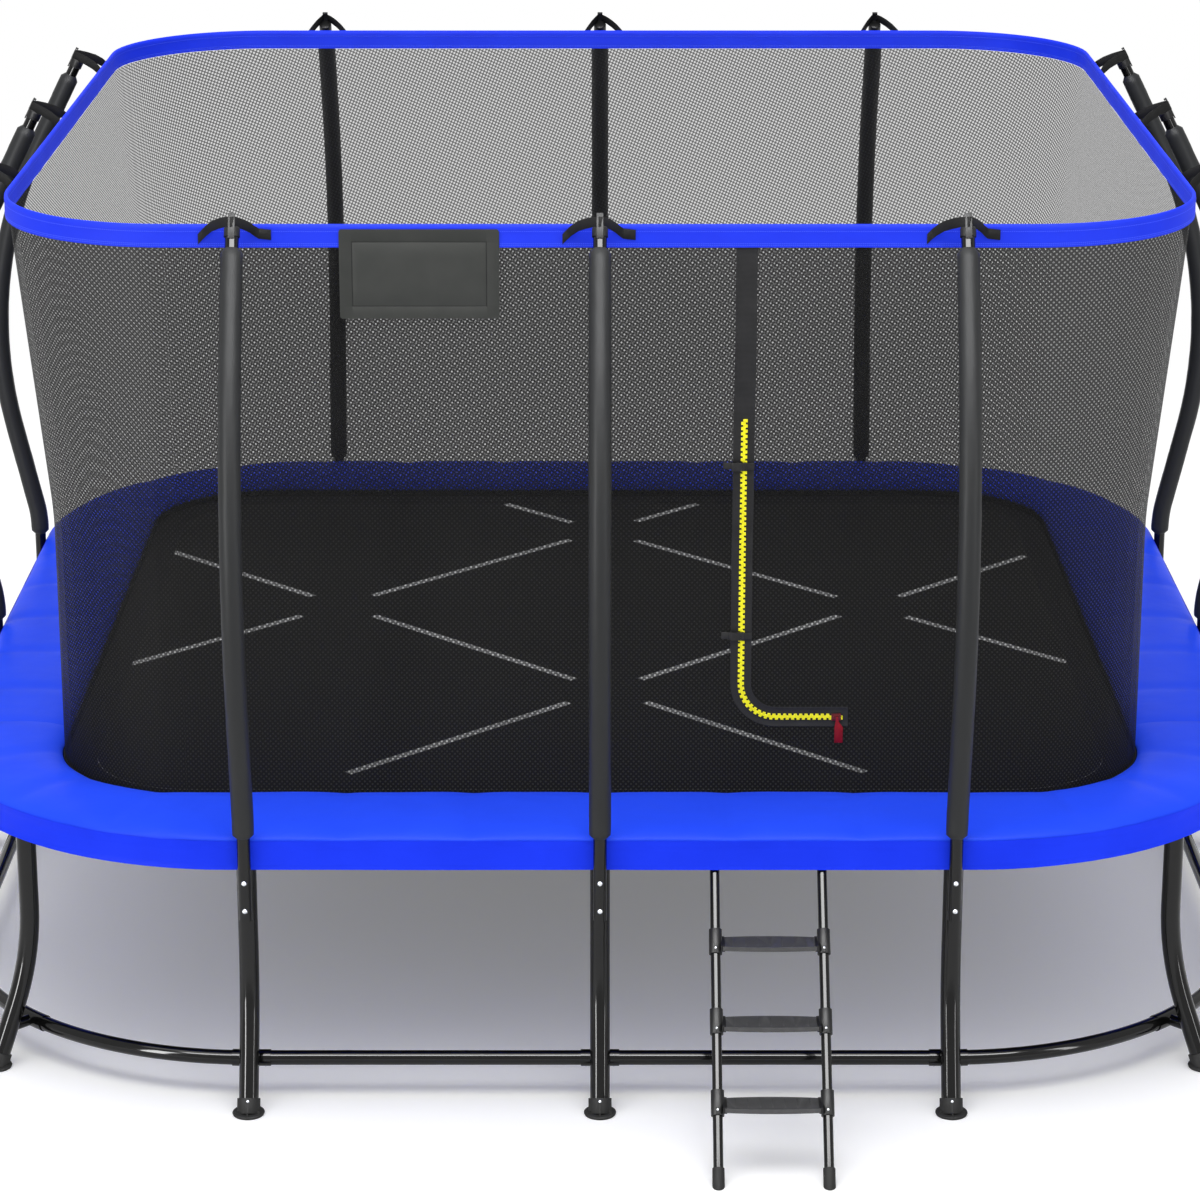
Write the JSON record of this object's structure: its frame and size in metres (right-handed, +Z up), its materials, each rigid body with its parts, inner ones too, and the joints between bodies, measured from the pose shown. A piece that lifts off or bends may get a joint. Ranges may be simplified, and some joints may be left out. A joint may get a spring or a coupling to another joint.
{
  "type": "trampoline",
  "caption": "Square garden trampoline with curved padded poles, a net enclosure with a zipped doorway, a blue padded spring cover and a hook-on ladder.",
  "frame": {"origin": "on the floor, under the middle of the whole object's box, ladder included", "axes": "+Z up; -Y to the front, where the doorway and the ladder are; +X to the right seen from the front"},
  "size_m": [4.2776, 4.7071, 2.5444],
  "materials": {
    "black_paint": "gloss black powder coat over steel tube",
    "black_plastic": "moulded black plastic",
    "black_webbing": "woven black webbing",
    "blue_band": "bright blue coated cloth",
    "blue_vinyl": "bright blue coated cloth over foam",
    "dark_tread": "moulded dark grey plastic",
    "foam_grey": "dark grey sleeve over foam tube",
    "grey_panel": "dark grey cloth, bare",
    "mat_cloth": "black woven jumping cloth",
    "net_mesh": "black knitted netting",
    "red_pull": "dark red webbing",
    "red_slider": "dark red enamelled slider",
    "rod_glass": "pale glass-fibre rod",
    "rubber_foot": "matt black rubber",
    "spring_steel": "galvanised spring wire",
    "yellow_zip": "bright yellow moulded teeth",
    "zinc_screw": "bright zinc plate"
  },
  "bodies": {
    "frame": {"top_rail_straights": "black_paint", "top_rail_corners": "black_paint", "rail_sockets": "black_paint", "side_legs": "black_paint", "corner_legs": "black_paint", "foot_pads": "black_plastic", "foot_screws": "zinc_screw", "base_rail_straights": "black_paint", "base_rail_corners": "black_paint", "base_tees": "black_plastic", "base_tee_screws": "zinc_screw", "pole_spacers": "black_plastic", "pole_bolts": "zinc_screw", "pole_nuts": "zinc_screw", "lower_poles": "black_paint", "upper_poles": "black_paint", "foam_sleeves": "foam_grey", "pole_caps": "black_plastic", "cap_straps": "black_webbing", "top_band": "blue_band", "hoop_rods": "rod_glass", "net_front": "net_mesh", "net_back": "net_mesh", "net_left": "net_mesh", "net_right": "net_mesh", "net_corners": "net_mesh", "net_foot_webbing": "black_webbing", "door_binding": "black_webbing", "zip_chain": "yellow_zip", "clip_sockets": "black_plastic", "blank_panel": "grey_panel", "mat_hem": "mat_cloth", "v_rings": "zinc_screw", "springs": "spring_steel", "pad_front": "blue_vinyl", "pad_back": "blue_vinyl", "pad_left": "blue_vinyl", "pad_right": "blue_vinyl", "pad_corners": "blue_vinyl", "skirt_sides": "blue_band", "skirt_corners": "blue_band", "skirt_ladder_bay": "blue_band", "pad_ties": "black_webbing"},
    "jump_mat": {"mat": "mat_cloth"},
    "slider": {"zip_slider": "red_slider"},
    "pull": {"zip_pull": "red_pull"},
    "lower_plug": {"lower_clip_plug": "black_plastic"},
    "upper_plug": {"upper_clip_plug": "black_plastic"},
    "ladder": {"ladder_rails": "black_paint", "ladder_hooks": "black_paint", "ladder_treads": "dark_tread", "tread_brackets": "dark_tread", "tread_screws": "zinc_screw", "ladder_feet": "rubber_foot"}
  },
  "joints": [
    {"name": "mat_bounce", "type": "slide", "parent": "frame", "child": "jump_mat", "axis": [0, 0, 1], "range_m": [-0.3, 0], "stiffness_N_per_m": 6000, "springref_m": 0.06},
    {"name": "zip_slide", "type": "slide", "parent": "frame", "child": "slider", "axis": [1, 0, 0], "range_m": [-0.16, 0]},
    {"name": "zip_pull_swing", "type": "hinge", "parent": "slider", "child": "pull", "pos_m": [0.681, -1.40257, 1.03], "axis": [-1, 0, 0], "range_deg": [0, 90]},
    {"name": "lower_clip_release", "type": "slide", "parent": "frame", "child": "lower_plug", "axis": [1, 0, 0], "range_m": [0, 0.035]},
    {"name": "upper_clip_release", "type": "slide", "parent": "frame", "child": "upper_plug", "axis": [1, 0, 0], "range_m": [0, 0.035]},
    {"name": "ladder_swing", "type": "hinge", "parent": "frame", "child": "ladder", "pos_m": [0.475, -1.72527, 0.748], "axis": [-1, 0, 0], "range_deg": [0, 35], "deforming": ["skirt_ladder_bay"]}
  ]
}
